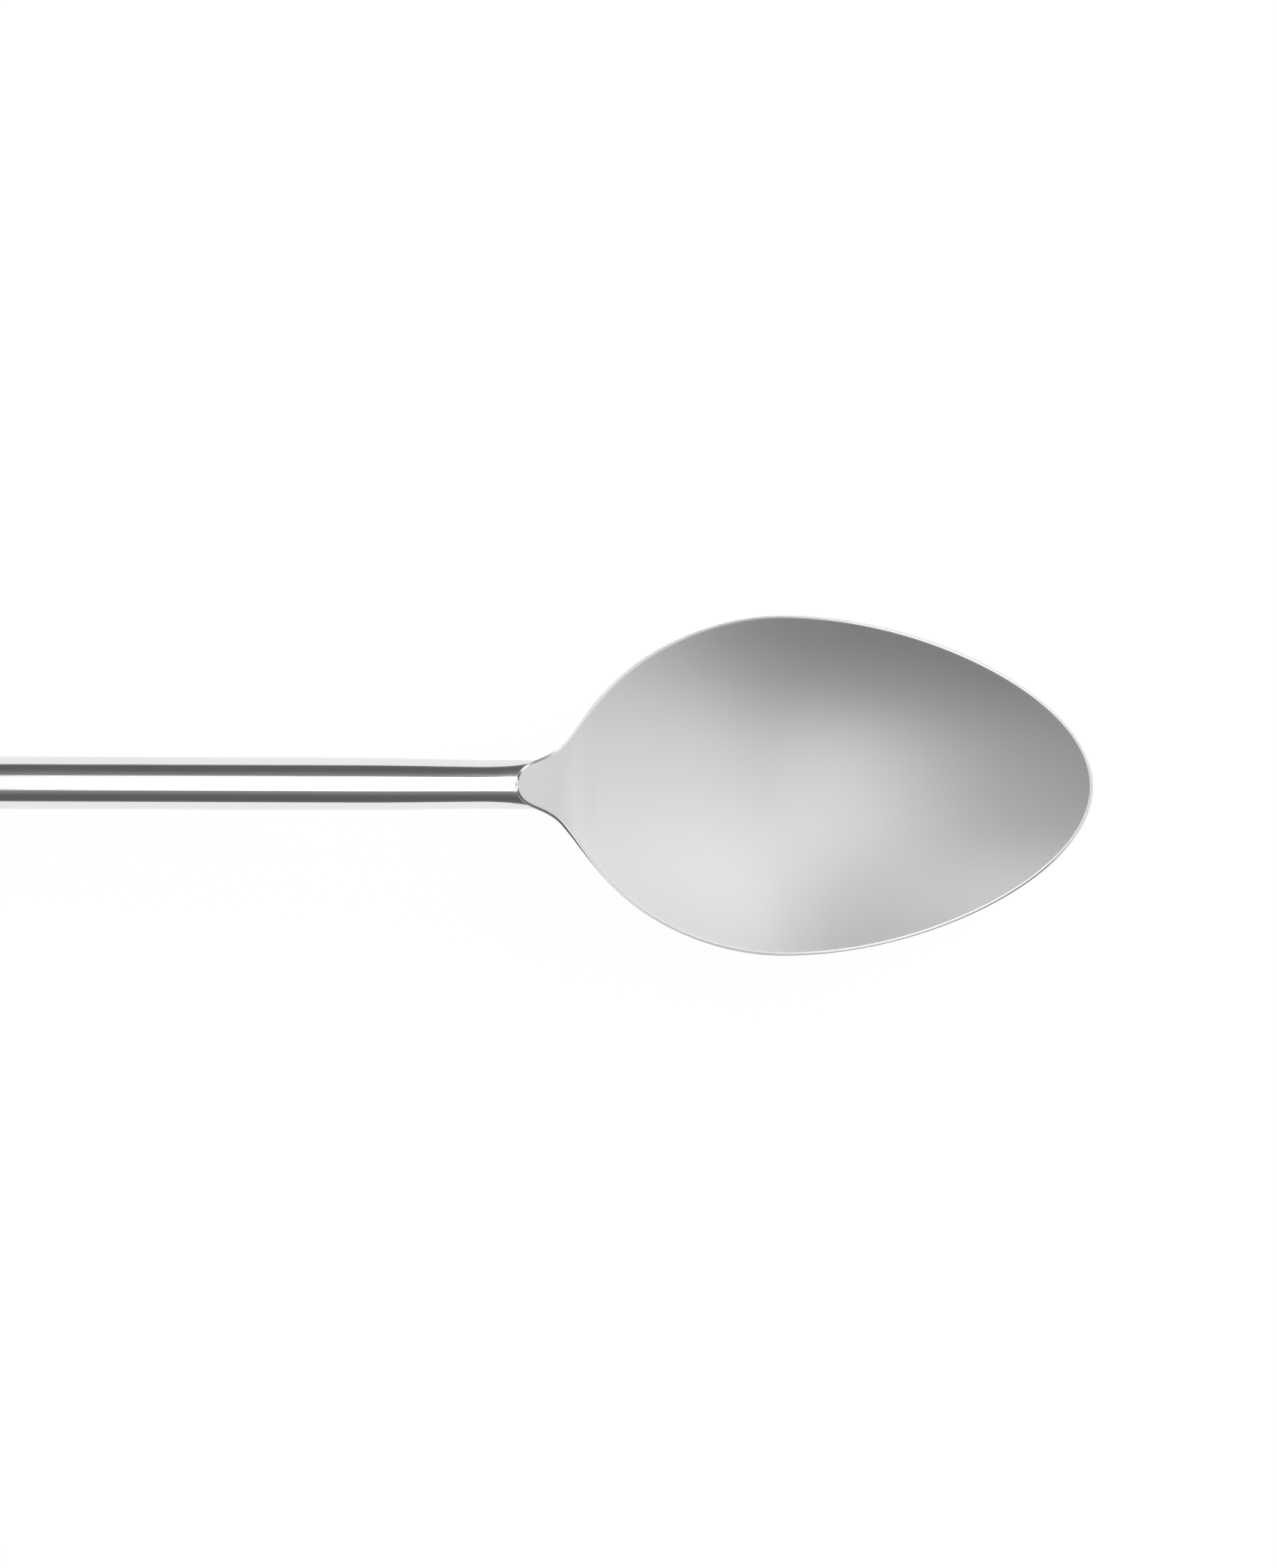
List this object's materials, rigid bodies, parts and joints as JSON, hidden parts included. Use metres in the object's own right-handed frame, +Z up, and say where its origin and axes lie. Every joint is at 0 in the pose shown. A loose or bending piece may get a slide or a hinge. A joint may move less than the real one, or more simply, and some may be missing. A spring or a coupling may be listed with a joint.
{
  "type": "dessert spoon",
  "caption": "One-piece metal dessert spoon with a round bar handle, a flat tongue at the neck and a shallow oval bowl.",
  "frame": {"origin": "bottom centre of the bounding box, on the table that the belly and the handle's end rest on", "axes": "+X along the spoon towards the bowl's tip, +Z up out of the bowl's hollow, +Y across the bowl"},
  "size_m": [0.18, 0.038, 0.0135],
  "materials": {
    "steel": "satin on the top face of the tongue and the bowl, polished on the handle, the edge and the underside"
  },
  "bodies": {
    "root": {"spoon": "steel"}
  },
  "joints": []
}
